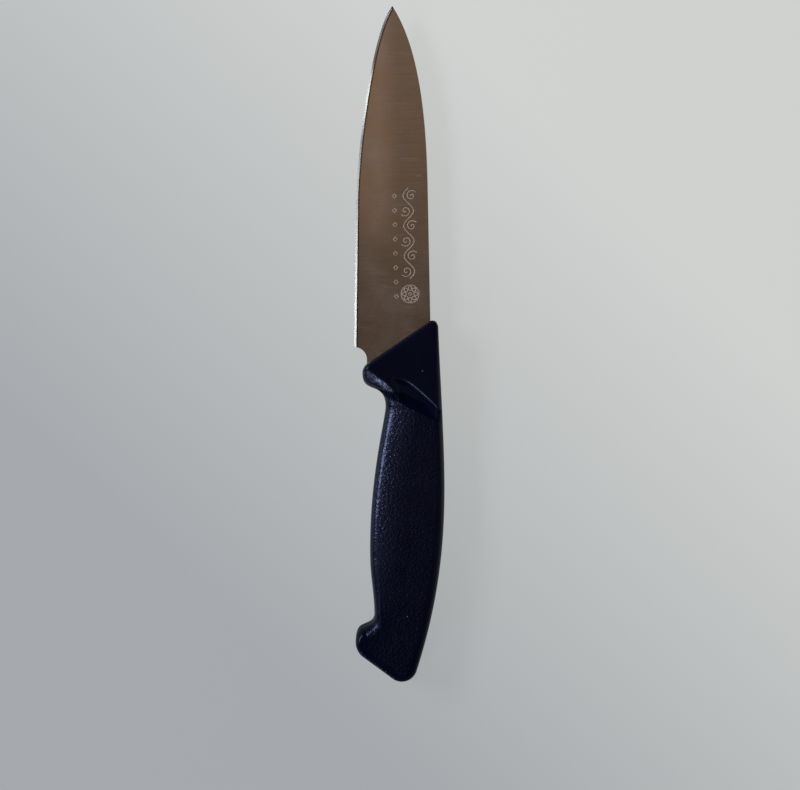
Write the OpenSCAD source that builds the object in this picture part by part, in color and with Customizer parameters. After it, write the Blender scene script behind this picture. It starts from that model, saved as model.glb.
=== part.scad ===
// Kitchen knife lying on its side: a ground steel blade with a hidden tang, and a moulded plastic handle.
// Shapes are worked out from the front corner, where the spine enters the handle: the tip is towards +Y,
// the spine towards +X and the thickness along Z. The finished knife then rests on Z = 0.

/* [Blade] */
// Length of the blade along its spine, from the handle to the tip
blade_l = 119; // [105:0.5:135]
// Width from the spine to the cutting edge at the heel
heel_w = 28.9; // [27:0.1:32]
// How far the heel lies behind the front corner
heel_back = 9.3; // [8.5:0.1:10]
// Width where the cutting edge starts to curve
edge_w = 27.1; // [25:0.1:29]
// Straight part of the cutting edge ahead of the front corner
edge_straight = 45.5; // [35:0.5:55]
// Straight part of the spine ahead of the front corner
spine_straight = 50; // [40:0.5:60]
// How far the tip lies below the line of the spine
tip_drop = 12; // [8:0.1:15]
// Angle between the spine's curve and the knife's axis at the tip
spine_tip_angle = 32; // [24:1:38]
// Angle between the cutting edge and the knife's axis at the tip
edge_tip_angle = 42; // [34:1:48]
// Thickness of the steel at the spine
spine_t = 1.8; // [1.4:0.1:2.6]
// Thickness of the steel behind the cutting bevel at the heel
behind_edge_t = 0.36; // [0.3:0.02:0.6]
// Thickness at the spine close to the tip
tip_t = 0.8; // [0.6:0.1:1.2]
// Width of the cutting bevel
bevel_w = 0.75; // [0.5:0.05:1.4]
// Radius of the notch at the heel
notch_r = 4.7; // [3.5:0.1:4.9]

/* [Tang] */
// Length of the tang behind the front corner
tang_l = 95; // [80:1:105]
// Width of the tang at its root
tang_w = 13; // [11:0.5:14]
// Width of the tang at its end
tang_end_w = 10; // [8:0.5:11]
// How far the tang's end leans in from the line of the spine
tang_end_in = 2; // [1.5:0.1:3]
// Rounding of the tang's two end corners
tang_corner_r = 2; // [1:0.5:4]
// Depth behind the handle's front where the ground blade passes into the flat tang
tang_root_depth = 4; // [3:0.5:6]
// Depth of the blank's shoulder behind the handle's front at the notch
shoulder_depth = 1.5; // [1:0.1:2.5]
// Slant of the shoulder
shoulder_angle = 31; // [25:1:36]
// Diameter of the holes that lock the moulding to the tang
lock_hole_d = 5; // [3:0.5:6]
// Distance of the first locking hole behind the front corner
lock_hole_first = 38; // [34:1:42]
// Spacing of the locking holes
lock_hole_pitch = 22; // [16:1:24]
// Number of locking holes
lock_hole_count = 3; // [1:1:3]
// Gap between the steel and the moulding
mould_gap = 0.03; // [0.01:0.01:0.06]

/* [Handle outline] */
// Length of the handle behind the front corner
handle_l = 134.8; // [128:0.1:146]
// Slant of the handle's front
front_angle = 32.9; // [30:0.1:35]
// How far the handle stands proud of the spine at the front
back_step = 2.83; // [2.2:0.01:4]
// Radius of the handle's front corner at the spine
front_corner_r = 2.2; // [1.7:0.1:2.4]
// Lean of the back at the front corner
back_lean = 1; // [0:0.1:2]
// Lean of the back at the butt
butt_lean = 19; // [14:0.5:24]
// Distance of the finger guard from the line of the spine
guard_x = 26; // [25.3:0.1:27]
// Distance of the finger guard's widest point behind the front corner
guard_y = 19.6; // [19:0.1:21.5]
// Distance of the neck's lower side from the line of the spine
neck_x = 17.5; // [16.5:0.1:19]
// Distance of the neck behind the front corner
neck_y = 31.8; // [30:0.1:34]
// Distance of the grip's belly from the line of the spine
belly_x = 24.45; // [22:0.05:27]
// Distance of the belly's widest point behind the front corner
belly_y = 88; // [80:0.5:92]
// Distance of the hollow before the hook from the line of the spine
hollow_x = 23.25; // [21:0.05:24.4]
// Distance of that hollow from the butt's end
hollow_up = 25.6; // [25:0.1:30]
// Distance of the hook's tip from the line of the spine
hook_x = 30.5; // [29:0.1:32]
// Distance of the hook's tip from the butt's end
hook_up = 14.9; // [14.5:0.1:17]
// Radius of the hook's tip
hook_r = 6.5; // [5.5:0.1:7.5]
// Slant of the butt's end face
butt_angle = 37.4; // [34:0.1:41]
// Radius of the butt's corner at the back
butt_r = 5.8; // [4.5:0.1:7]

/* [Handle thickness] */
// Thickness over the flat bolster faces
bolster_t = 16; // [14:0.1:18]
// Thickness of the neck
neck_t = 12.8; // [11.5:0.1:13.5]
// Thickness of the grip at the palm
palm_t = 16; // [14:0.1:18]
// Thickness at the butt
butt_t = 15; // [13.5:0.1:17]
// Distance of the palm's thickest point behind the front corner
palm_y = 84; // [74:1:94]

/* [Bolster] */
// Where the crease meets the back, behind the front corner
crease_back_y = 34.6; // [33:0.1:36]
// How far the crease bows towards the blade
crease_bow = 5.1; // [3.5:0.1:5.5]
// Greatest height of the step, at the crease's corner
step_h = 2.1; // [1.2:0.1:2.4]
// Steepness of the step's face
step_angle = 46; // [38:1:55]
// Width of the step's face at the back
step_w = 0.4; // [0.2:0.1:0.8]
// Slope of the slanting facet under the guard
facet_slope = 30; // [22:1:34]
// Slope that the facet runs out to at the neck
facet_end_slope = 10; // [6:1:16]
// Slant of the line where that facet starts
facet_angle = 38; // [34:1:44]
// Where the fold under the guard meets the back, behind the front corner
fold_back_y = 39.4; // [38:0.1:42]

/* [Hidden] */
steel_colour = [0.55, 0.53, 0.5];
plastic_colour = [0.07, 0.08, 0.18];

// Curves and shares
function mix(a, b, t) = a + (b - a) * t;
function ease(t) = t * t * (3 - 2 * t);
function bezier(p, t) =
    let (s = 1 - t)
    s * s * s * p[0] + 3 * s * s * t * p[1] + 3 * s * t * t * p[2] + t * t * t * p[3];
function arc_point(centre, r, a) = centre + r * [cos(a), sin(a)];
function unit(v) = v / norm(v);
function cross2(a, b) = a[0] * b[1] - a[1] * b[0];

// A span that starts and ends along the knife's axis
function span(a, b, pull_a, pull_b) = [a, a - [0, pull_a], b + [0, pull_b], b];
// The share of a falling curve at which it passes the height y
function share_at(p, y, lo = 0, hi = 1, left = 24) =
    left == 0 ? (lo + hi) / 2 :
    let (m = (lo + hi) / 2)
    bezier(p, m)[1] > y ? share_at(p, y, m, hi, left - 1) : share_at(p, y, lo, m, left - 1);

// Blade: the pulls of its two curves in shares of the curved length
heel = [-heel_w, -heel_back];
edge_start = [-edge_w, edge_straight];
tip = [-tip_drop, blade_l];
spine_curve_l = blade_l - spine_straight;
edge_curve_l = blade_l - edge_straight;
spine_curve = [
    [0, spine_straight],
    [0, spine_straight + 0.356 * spine_curve_l],
    tip - 0.284 * spine_curve_l * [-sin(spine_tip_angle), cos(spine_tip_angle)],
    tip
];
edge_curve = [
    edge_start,
    edge_start + 0.245 * edge_curve_l * unit(edge_start - heel),
    tip - 0.16 * edge_curve_l * [sin(edge_tip_angle), cos(edge_tip_angle)],
    tip
];
blade_stations = 18;
// The ground faces slope evenly from the spine to the bevel
grind_slope = (spine_t - behind_edge_t) / 2 / (heel_w - bevel_w);
hidden_start = guard_y + 3;
function edge_x(y) = mix(heel[0], edge_start[0], (y - heel[1]) / (edge_start[1] - heel[1]));

// One section of the blade: spine, top of the bevel and cutting edge
function blade_section(s, e, spine_half, grow) =
    let (
        dir = unit(s - e),
        bevel = min(bevel_w, norm(s - e) / 3),
        b = e + bevel * dir,
        shoulder_half = max(spine_half - grind_slope * norm(s - b), 0.3 * spine_half)
    )
    [
        [s[0] + grow, s[1], spine_half + grow],
        [b[0], b[1], shoulder_half + grow],
        [e[0] - grow, e[1], 0],
        [b[0], b[1], -shoulder_half - grow],
        [s[0] + grow, s[1], -spine_half - grow]
    ];

function straight_sections(y_spine, y_edge, grow) = [
    blade_section([0, -hidden_start], [edge_x(-hidden_start), -hidden_start], spine_t / 2, grow),
    blade_section([0, y_spine], [edge_x(y_edge), y_edge], spine_t / 2, grow)
];
function curved_sections() = [
    for (i = [1:blade_stations - 1])
        let (t = i / blade_stations)
        blade_section(bezier(spine_curve, t), bezier(edge_curve, t), mix(spine_t, tip_t, ease(t)) / 2, 0)
];

// A closed skin over rings of equal length, with one triangle fan over each end
function ring_faces(rings, n) = [
    for (i = [0:rings - 2], j = [0:n - 1])
        let (a = i * n + j, b = i * n + (j + 1) % n)
        for (f = [[a, b, b + n], [a, b + n, a + n]])
            f
];

module ground_blade() {
    sections = concat(straight_sections(spine_straight, edge_straight, 0), curved_sections());
    n = 5;
    last = (len(sections) - 1) * n;
    points = concat([for (s = sections) each s], [[tip[0], tip[1], 0]]);
    start_cap = [for (j = [1:n - 2]) [0, j + 1, j]];
    tip_faces = [for (j = [0:n - 1]) [last + j, last + (j + 1) % n, last + n]];
    polyhedron(points, concat(start_cap, ring_faces(len(sections), n), tip_faces));
}

// The straight part of the ground blade, a little larger, as it leaves its slot in the handle
module ground_slot(grow) {
    sections = straight_sections(edge_straight / 2, edge_straight / 2, grow);
    n = 5;
    start_cap = [for (j = [1:n - 2]) [0, j + 1, j]];
    end_cap = [for (j = [1:n - 2]) [n, n + j, n + j + 1]];
    polyhedron([for (s = sections) each s], concat(start_cap, ring_faces(2, n), end_cap));
}

// The notch reaches from the heel to the line where the blank enters the handle
notch_x = -heel_w + notch_r;
notch_y = -heel_back - notch_r;
shoulder_y = notch_x * tan(front_angle) - shoulder_depth / cos(front_angle);
tang_x = -tang_w;
shoulder_end_y = shoulder_y - (tang_x - notch_x) * tan(shoulder_angle);
tang_end_x = -tang_end_in - tang_end_w;
tang_root_y = -tang_root_depth / cos(front_angle);

// What is cut from the blank below the heel and below the shoulder
module below_the_shoulder(grow) {
    far = heel_w + 10;
    polygon([
        [-far, notch_y],
        [notch_x - grow, notch_y],
        [notch_x - grow, shoulder_y - grow],
        [tang_x - grow, shoulder_end_y - grow],
        [tang_x - grow, -hidden_start - 1],
        [-far, -hidden_start - 1]
    ]);
}

// The flat tang, which thickens the ground blank from a slanted line inside the handle
module tang_outline(grow) {
    corner = tang_corner_r;
    polygon(concat(
        [
            [grow, tang_root_y],
            [tang_x - grow, tang_root_y + (tang_x - grow) * tan(front_angle)],
            [tang_x - grow, shoulder_end_y - grow]
        ],
        [for (a = [180:15:270]) arc_point([tang_end_x + corner, corner - tang_l], corner + grow, a)],
        [for (a = [270:15:360]) arc_point([-tang_end_in - corner, corner - tang_l], corner + grow, a)]
    ));
}

function tang_middle(y) = mix(tang_x / 2, (tang_end_x - tang_end_in) / 2, y / tang_l);

module tang(grow) {
    difference() {
        linear_extrude(height = spine_t + 2 * grow, center = true) tang_outline(grow);
        for (i = [0:lock_hole_count - 1]) {
            y = lock_hole_first + i * lock_hole_pitch;
            translate([tang_middle(y), -y, -spine_t])
                cylinder(h = 2 * spine_t, d = lock_hole_d - 2 * grow, $fn = 48);
        }
    }
}

module notch_cut(grow) {
    translate([0, 0, -spine_t]) linear_extrude(height = 2 * spine_t) below_the_shoulder(grow);
    translate([-heel_w, notch_y, -spine_t]) cylinder(h = 2 * spine_t, r = notch_r - grow, $fn = 96);
}

// Handle outline
fold_share = 0.84;
guard_r = (guard_y - guard_x * tan(front_angle))
    / (cos(front_angle) - (1 - sin(front_angle)) * tan(front_angle));
guard_centre = [guard_r - guard_x, -guard_y];
front_corner_centre = [
    back_step - front_corner_r,
    (back_step - front_corner_r) * tan(front_angle) - front_corner_r / cos(front_angle)
];
hollow_y = handle_l - hollow_up;
hook_centre = [hook_r - hook_x, hook_up - handle_l];
butt_centre_y = butt_r - handle_l;
butt_centre = [
    hook_centre[0] + (butt_r - hook_r - cos(butt_angle) * (butt_centre_y - hook_centre[1])) / sin(butt_angle),
    butt_centre_y
];

// Angles of the outward normals where the arcs meet the straight front and the straight butt
front_normal = 90 + front_angle;
butt_normal = 270 - butt_angle;

under_guard = span([-guard_x, -guard_y], [-neck_x, -neck_y], 7.6, 9.6);
neck_to_belly = span([-neck_x, -neck_y], [-belly_x, -belly_y], 4, 0.51 * (belly_y - neck_y));
belly_to_hollow = span([-belly_x, -belly_y], [-hollow_x, -hollow_y], 8.1, 8.1);
hollow_to_hook = span([-hollow_x, -hollow_y], [-hook_x, hook_centre[1]], 6.9, 9.4);
back_start = arc_point(front_corner_centre, front_corner_r, back_lean);
back_end = arc_point(butt_centre, butt_r, -butt_lean);
back_l = back_start[1] - back_end[1];
back_curve = [
    back_start,
    back_start + 0.38 * back_l * [sin(back_lean), -cos(back_lean)],
    back_end + 0.385 * back_l * [sin(butt_lean), cos(butt_lean)],
    back_end
];

// How each stretch of the outline is rounded over to the side: width of the rounding in plan, its depth,
// the slope in degrees where it meets the side, and the width over which the side levels out
round_front = [1.7, 3.5, 0, 1];
round_guard = [1.8, 3.6, 0, 1];
round_under_guard = [2, 3.6, 3, 1];
round_neck = [5, 4, 15, 10];
round_belly = [3.4, 3.6, 11, 10];
round_hollow = [2.4, 3.8, 0, 1];
round_hook_top = [6, 6.4, 3, 1];
round_hook_side = [1.6, 3, 0, 1];
round_butt = [1, 1.2, 0, 1];
round_butt_corner = [1.8, 2.2, 4, 3];
round_grip_back = [2.6, 3.6, 33, 0.6];
round_front_back = [1.2, 1.6, 0, 1];

function rounded(points, start, end) = [
    for (i = [0:len(points) - 1])
        concat(points[i], mix(start, end, i / (len(points) - 1)))
];
function curve_points(p, n, first = 0, last = 1) = [for (i = [0:n]) bezier(p, mix(first, last, i / n))];
function arc_points(centre, r, a0, a1, n) = [for (i = [0:n]) arc_point(centre, r, mix(a0, a1, i / n))];

outline = concat(
    rounded(arc_points(guard_centre, guard_r, front_normal, 180, 10), round_front, round_guard),
    rounded(curve_points(under_guard, 12, 0, fold_share), round_guard, round_under_guard),
    rounded(curve_points(under_guard, 4, fold_share, 1), round_under_guard, round_neck),
    rounded(curve_points(neck_to_belly, 16), round_neck, round_belly),
    rounded(curve_points(belly_to_hollow, 8), round_belly, round_hollow),
    rounded(curve_points(hollow_to_hook, 8, 0, 0.6), round_hollow, round_hook_top),
    rounded(curve_points(hollow_to_hook, 6, 0.6, 1), round_hook_top, round_hook_side),
    rounded(arc_points(hook_centre, hook_r, 180, butt_normal, 8), round_hook_side, round_butt),
    rounded(arc_points(butt_centre, butt_r, butt_normal, 360 - butt_lean, 14), round_butt, round_butt_corner),
    rounded([for (i = [10:-1:4]) bezier(back_curve, i / 10)], round_butt_corner, round_grip_back),
    rounded([for (i = [12:-1:9]) bezier(back_curve, i / 30)], round_grip_back, round_grip_back),
    rounded([for (i = [9:-1:0]) bezier(back_curve, i / 36)], round_grip_back, round_front_back),
    rounded(
        arc_points(front_corner_centre, front_corner_r, back_lean, front_normal, 8),
        round_front_back, round_front
    )
);

// Distance from a point to one stretch of the outline, with the rounding there
function stretch_distance(p, i) =
    let (
        a = outline[i],
        b = outline[(i + 1) % len(outline)],
        pa = [a[0], a[1]],
        ab = [b[0] - a[0], b[1] - a[1]],
        l2 = ab * ab,
        t = l2 == 0 ? 0 : min(1, max(0, (p - pa) * ab / l2))
    )
    [norm(p - pa - t * ab), for (k = [2:5]) mix(a[k], b[k], t)];
function nearest(p) =
    let (
        all = [for (i = [0:len(outline) - 1]) stretch_distance(p, i)],
        least = min([for (s = all) s[0]])
    )
    [for (s = all) if (s[0] == least) s][0];

// How far the surface lies below the side's full height at a distance from the outline
function drop(e, d) =
    let (
        end = e[3] == 0 ? 90 : atan(e[2] / e[1] / tan(e[3])),
        w = e[1] * (1 - cos(end)),
        level = tan(e[3]) * e[4] / 2,
        s = min(1, (d - w) / e[4])
    )
    d < w ? level + e[2] * (sin(end) - sin(acos(1 - d / e[1]))) : level * (1 - s) * (1 - s);

// Rungs across the handle: belly end, back end, half thickness, bow and the power of the bow's longer leg.
// Close to the crease follow its side (-1 above, 1 below) and the share of the way from its step to the fold
bolster_half = bolster_t / 2;
neck_half = neck_t / 2;
palm_half = palm_t / 2;
butt_half = butt_t / 2;
long_leg = 1.35;

function back_at(y) = bezier(back_curve, share_at(back_curve, -y));
function depth_angle(depth, r) = acos(1 - min(1, depth / r));
function rounding_depth(i, n, w) = w * (1 - cos(90 * i / n));

front_rows = 4;
front_rungs = [
    for (i = [0:front_rows])
        let (depth = rounding_depth(i, front_rows, round_front[0]))
        [
            arc_point(guard_centre, guard_r, front_normal + depth_angle(depth, guard_r)),
            arc_point(front_corner_centre, front_corner_r, front_normal - depth_angle(depth, front_corner_r)),
            bolster_half, 0, long_leg, 0, 0
        ]
];

// The flat bolster face fans out from the guard to the crease
front_end_angle = front_normal + depth_angle(round_front[0], guard_r);
bolster_shares = [0.2, 0.4, 0.6, 0.8, 0.9, 0.96, 0.985, 1];
bolster_rungs = [
    for (s = bolster_shares)
        let (bent = (s - bolster_shares[0]) / (1 - bolster_shares[0]))
        [
            arc_point(guard_centre, guard_r, mix(front_end_angle, 180, s)),
            back_at(mix(-back_start[1], crease_back_y, bent)),
            bolster_half, crease_bow * bent, long_leg, -1, 0
        ]
];

// From the crease to the fold: the foot of the step has a share of its own
foot_share = 0.28;
guard_shares = [0.03, 0.07, 0.12, 0.17, 0.23, foot_share, 0.36, 0.44, 0.53, 0.63, 0.74, 0.85, 0.93, 1];
function guard_rung(s) =
    let (
        below = max(0, (s - foot_share) / (1 - foot_share)),
        step = min(1, s / foot_share)
    )
    [
        bezier(under_guard, fold_share * s),
        back_at(mix(crease_back_y + step_w * step, fold_back_y, below)),
        bolster_half, crease_bow * (1 - s), mix(long_leg, 0.8, step), 1, below
    ];
guard_rungs = [for (s = guard_shares) guard_rung(s)];

// The grip from the fold to the hollow before the hook
fold_point = bezier(under_guard, fold_share);
hollow_back_y = hollow_y + 1.5;
grip_rows = 20;
function belly_at(y) =
    y < neck_y ? bezier(under_guard, share_at(under_guard, -y)) :
    y < belly_y ? bezier(neck_to_belly, share_at(neck_to_belly, -y)) :
    bezier(belly_to_hollow, share_at(belly_to_hollow, -y));
function grip_half(y) =
    y < palm_y
        ? mix(neck_half, palm_half, ease(max(0, (y - fold_back_y) / (palm_y - fold_back_y))))
        : mix(palm_half, butt_half, ease((y - palm_y) / (hollow_y - palm_y)));
grip_rungs = [
    for (i = [1:grip_rows])
        let (
            t = i / grip_rows,
            y = mix(-fold_point[1], hollow_y, t),
            lag = mix(fold_back_y + fold_point[1], 0, min(1, 1.8 * t)) + (hollow_back_y - hollow_y) * t,
            half = i == grip_rows ? butt_half : grip_half(y + lag / 2)
        )
        [belly_at(y), back_at(y + lag), half, 0, long_leg, 0, 0]
];

// The hook and the butt: the rungs swing round until they lie along the slanted end face
butt_row_depth = round_butt[0];
hook_end_angle = butt_normal - depth_angle(butt_row_depth, hook_r);
butt_start_angle = butt_normal + depth_angle(butt_row_depth, butt_r);
hook_rows = 14;
hook_share = 9 / 14;
back_share = 8 / 14;
hook_rungs = [
    for (i = [1:hook_rows])
        let (t = i / hook_rows)
        [
            t <= hook_share
                ? bezier(hollow_to_hook, t / hook_share)
                : arc_point(
                    hook_centre, hook_r,
                    mix(180, hook_end_angle, (t - hook_share) / (1 - hook_share))
                ),
            t <= back_share
                ? back_at(mix(hollow_back_y, -back_end[1], t / back_share))
                : arc_point(
                    butt_centre, butt_r,
                    mix(360 - butt_lean, butt_start_angle, (t - back_share) / (1 - back_share))
                ),
            butt_half, 0, long_leg, 0, 0
        ]
];
butt_rows = 3;
butt_rungs = [
    for (i = [butt_rows - 1:-1:0])
        let (depth = rounding_depth(i, butt_rows, butt_row_depth))
        [
            arc_point(hook_centre, hook_r, butt_normal - depth_angle(depth, hook_r)),
            arc_point(butt_centre, butt_r, butt_normal + depth_angle(depth, butt_r)),
            butt_half, 0, long_leg, 0, 0
        ]
];
rungs = concat(front_rungs, bolster_rungs, guard_rungs, grip_rungs, hook_rungs, butt_rungs);

// A rung rises to its bow along two legs that meet in a softened corner
crease_peak = 0.46;
crease_soft = 0.1;
short_leg = 0.75;
function soft_min(a, b, soft) = let (h = max(0, soft - abs(a - b))) min(a, b) - h * h / (4 * soft);
function tent(t, power) =
    let (
        left = pow(t / crease_peak, short_leg),
        right = 1 - pow(max(0, (t - crease_peak) / (1 - crease_peak)), power) + 0.3 * max(0, crease_peak - t)
    )
    soft_min(left, right, crease_soft);
function rung_point(r, t) =
    let (along = r[1] - r[0], side = [-along[1], along[0]] / norm(along))
    r[0] + along * t + side * r[3] * tent(t, r[4]);

// The surface falls below the crease by a step, and beyond a slanting line by the facet under the guard
crease_rung = bolster_rungs[len(bolster_rungs) - 1];
crease_line = [for (i = [0:40]) rung_point(crease_rung, i / 40)];
foot_rung = guard_rung(foot_share);
step_start = 0.62;
step_edge = 0.4;
step_foot = 0.03;
facet_edge = 0.3;
facet_start = [4.9 - guard_x, -0.5 - guard_y];
facet_away = [-sin(facet_angle), -cos(facet_angle)];
facet_along = [cos(facet_angle), -sin(facet_angle)];
facet_l = 4;
facet_fade = 8;
fold_power_belly = 1.3;
fold_power_back = 1.1;
function crease_distance(p) = min([
    for (i = [0:len(crease_line) - 2])
        let (
            a = crease_line[i],
            ab = crease_line[i + 1] - a,
            t = min(1, max(0, (p - a) * ab / (ab * ab)))
        )
        norm(p - a - t * ab)
]);
function soft_start(d, edge) = d < -edge ? 0 : d > edge ? d : (d + edge) * (d + edge) / (4 * edge);
function step_depth(t, d) =
    let (
        full = min(step_h, tan(step_angle) * crease_distance(rung_point(foot_rung, t))),
        reached = (t / crease_peak - step_start) / (1 - step_start),
        h = full * ease(min(1, max(0, reached))),
        fall = tan(step_angle) * soft_start(d, step_edge)
    )
    h > 0 && fall > 0 ? max(0, soft_min(fall, h, step_foot * h)) : 0;
function facet_depth(p) =
    let (
        faded = ((p - facet_start) * facet_along - facet_l) / facet_fade,
        slope = mix(facet_slope, facet_end_slope, ease(min(1, max(0, faded))))
    )
    tan(slope) * soft_start((p - facet_start) * facet_away, facet_edge);
function rung_half(r, t, p) =
    r[5] == 0 ? r[2] :
    mix(
        r[2] - step_depth(t, r[5] * crease_distance(p)) - facet_depth(p), neck_half,
        pow(r[6], mix(fold_power_belly, fold_power_back, t))
    );

// Shares along a rung: close together over the two roundings, with one on the crease's corner
corner_steps = 5;
left_steps = 5;
right_steps = 9;
function slant(end, other) =
    let (
        i = [for (k = [0:len(outline) - 1]) stretch_distance(end, k)[0]],
        least = min(i),
        k = [for (m = [0:len(i) - 1]) if (i[m] == least) m][0],
        a = outline[k],
        b = outline[(k + 1) % len(outline)],
        stretch = [b[0] - a[0], b[1] - a[1]],
        safe = norm(stretch) == 0 ? [0, 1] : unit(stretch)
    )
    max(0.35, abs(cross2(safe, unit(other - end))));
function rung_shares(r) =
    let (
        l = norm(r[1] - r[0]),
        near = rung_point(r, 0.1),
        far = rung_point(r, 0.9),
        a = min(0.3, nearest(r[0])[1] / slant(r[0], near) / l),
        b = min(0.3, nearest(r[1])[1] / slant(r[1], far) / l),
        peak = max(crease_peak, a + 0.02)
    )
    concat(
        [for (j = [0:corner_steps]) a * (1 - cos(90 * j / corner_steps))],
        [for (j = [1:left_steps - 1]) mix(a, peak, j / left_steps)],
        [for (j = [0:right_steps - 1]) mix(peak, 1 - b, j / right_steps)],
        [for (j = [corner_steps:-1:0]) 1 - b * (1 - cos(90 * j / corner_steps))]
    );
columns = 2 * corner_steps + left_steps + right_steps + 1;

// One ring round the handle: over the upper side from belly to back, and back under the lower side
function handle_ring(r) =
    let (
        shares = rung_shares(r),
        upper = [
            for (j = [0:columns - 1])
                let (
                    p = rung_point(r, shares[j]),
                    e = nearest(p),
                    d = j == 0 || j == columns - 1 ? 0 : e[0]
                )
                [p[0], p[1], rung_half(r, shares[j], p) - drop(e, d)]
        ]
    )
    concat(upper, [for (j = [columns - 1:-1:0]) [upper[j][0], upper[j][1], -upper[j][2]]]);

module handle_body() {
    n = 2 * columns;
    last = (len(rungs) - 1) * n;
    front_cap = [
        for (j = [0:columns - 2], f = [[j, n - 1 - j, n - 2 - j], [j, n - 2 - j, j + 1]])
            f
    ];
    butt_cap = [for (f = front_cap) [last + f[0], last + f[2], last + f[1]]];
    points = [for (r = rungs) each handle_ring(r)];
    polyhedron(points, concat(front_cap, ring_faces(len(rungs), n), butt_cap));
}

// The box in plan, from the ends of the rungs and the tip
plan_x = [for (r = rungs, k = [0:1]) r[k][0]];
plan_y = [for (r = rungs, k = [0:1]) r[k][1]];
plan_centre = [(min(plan_x) + max(plan_x)) / 2, (min(plan_y) + blade_l) / 2];
module lying_down() {
    translate([-plan_centre[0], -plan_centre[1], max(bolster_t, palm_t) / 2]) children();
}

module blade() {
    color(steel_colour)
        lying_down()
            union() {
                difference() {
                    ground_blade();
                    notch_cut(0);
                }
                tang(0);
            }
}

module handle() {
    color(plastic_colour)
        lying_down()
            difference() {
                handle_body();
                difference() {
                    ground_slot(mould_gap);
                    notch_cut(mould_gap);
                }
                tang(mould_gap);
            }
}

blade();
handle();
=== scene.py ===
import math

import bpy
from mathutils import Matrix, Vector
from mathutils.kdtree import KDTree


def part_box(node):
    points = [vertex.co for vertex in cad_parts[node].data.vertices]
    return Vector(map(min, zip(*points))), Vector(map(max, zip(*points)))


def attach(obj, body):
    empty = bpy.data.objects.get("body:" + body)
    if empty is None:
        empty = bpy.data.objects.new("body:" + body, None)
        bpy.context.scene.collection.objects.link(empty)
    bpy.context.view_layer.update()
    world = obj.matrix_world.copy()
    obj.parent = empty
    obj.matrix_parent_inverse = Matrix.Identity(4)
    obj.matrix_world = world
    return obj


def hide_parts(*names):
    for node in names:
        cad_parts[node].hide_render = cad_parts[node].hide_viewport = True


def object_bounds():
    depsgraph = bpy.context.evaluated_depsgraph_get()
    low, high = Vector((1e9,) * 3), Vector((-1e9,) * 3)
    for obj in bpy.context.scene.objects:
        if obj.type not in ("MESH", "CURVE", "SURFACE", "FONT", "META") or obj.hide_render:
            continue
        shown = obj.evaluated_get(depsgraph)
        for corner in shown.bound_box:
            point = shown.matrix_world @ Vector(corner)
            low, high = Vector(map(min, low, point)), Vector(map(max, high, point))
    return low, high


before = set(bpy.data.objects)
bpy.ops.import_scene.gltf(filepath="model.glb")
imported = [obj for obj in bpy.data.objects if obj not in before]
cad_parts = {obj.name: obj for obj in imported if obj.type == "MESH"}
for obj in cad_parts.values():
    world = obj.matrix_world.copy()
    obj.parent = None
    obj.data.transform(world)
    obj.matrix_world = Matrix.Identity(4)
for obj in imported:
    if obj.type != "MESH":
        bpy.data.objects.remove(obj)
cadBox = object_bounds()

mm = 0.001
scene = bpy.context.scene


def mix(a, b, t):
    return a + (b - a) * t


def ease(t):
    t = min(1, max(0, t))
    return t * t * (3 - 2 * t)


def rise(value, start, end):  # smoothly from 0 at the one to 1 at the other
    return ease((value - start) / (end - start))


def sine(degrees):
    return math.sin(math.radians(degrees))


def cosine(degrees):
    return math.cos(math.radians(degrees))


def tangent(degrees):
    return math.tan(math.radians(degrees))


def arcPoint(centre, radius, degrees):
    return Vector((centre[0] + radius * cosine(degrees), centre[1] + radius * sine(degrees)))


def bezier(points, t):
    while len(points) > 1:
        points = [mix(a, b, t) for a, b in zip(points, points[1:])]
    return points[0]


def span(a, b, pulls):  # starts and ends along the knife
    return [Vector(a), Vector(a) - Vector((0, pulls[0])), Vector(b) + Vector((0, pulls[1])), Vector(b)]


def shareAt(points, y):  # the share of a falling curve at which it passes y
    low, high = 0, 1
    for _ in range(30):
        middle = (low + high) / 2
        if bezier(points, middle).y > y:
            low = middle
        else:
            high = middle
    return (low + high) / 2


# Nodes are added to the tree that was begun last
building = {}


class Flow:  # what a node gives, so that a sum is written as one
    def __init__(self, socket):
        self.socket = socket

    def __add__(self, other):
        return maths("ADD", self, other)

    def __sub__(self, other):
        return maths("SUBTRACT", self, other)

    def __rsub__(self, other):
        return maths("SUBTRACT", other, self)

    def __mul__(self, other):
        return maths("MULTIPLY", self, other)

    def __truediv__(self, other):
        return maths("DIVIDE", self, other)

    __rmul__ = __mul__


def setInput(socket, value):
    if isinstance(value, Flow):
        building["tree"].links.new(value.socket, socket)
    elif value is not None:
        socket.default_value = value


def setInputs(node, **values):  # by label, with _ for a space
    for label, value in values.items():
        setInput(node.inputs[label.replace("_", " ")], (*value, 1) if isinstance(value, tuple) else value)
    return node


def addNode(kind, *values, **settings):
    node = building["tree"].nodes.new(kind)
    for name, value in settings.items():
        setattr(node, name, value)
    for socket, value in zip(node.inputs, values):
        setInput(socket, value)
    return node


def flow(kind, *values, output=0, **settings):
    return Flow(addNode(kind, *values, **settings).outputs[output])


def maths(operation, *values):  # on vectors where one takes part
    vectors = any(isinstance(value, Flow) and value.socket.type == "VECTOR" for value in values)
    return flow("ShaderNodeVectorMath" if vectors else "ShaderNodeMath", *values, operation=operation)


def least(a, b):
    return maths("MINIMUM", a, b)


def most(a, b):
    return maths("MAXIMUM", a, b)


def above(a, b):
    return maths("GREATER_THAN", a, b)


def combine(x=0.0, y=0.0, z=0.0):
    return flow("ShaderNodeCombineXYZ", x, y, z)


def remap(value, fromLow, fromHigh, toLow=0, toHigh=1, **settings):
    return flow("ShaderNodeMapRange", value, fromLow, fromHigh, toLow, toHigh, **settings)


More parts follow.
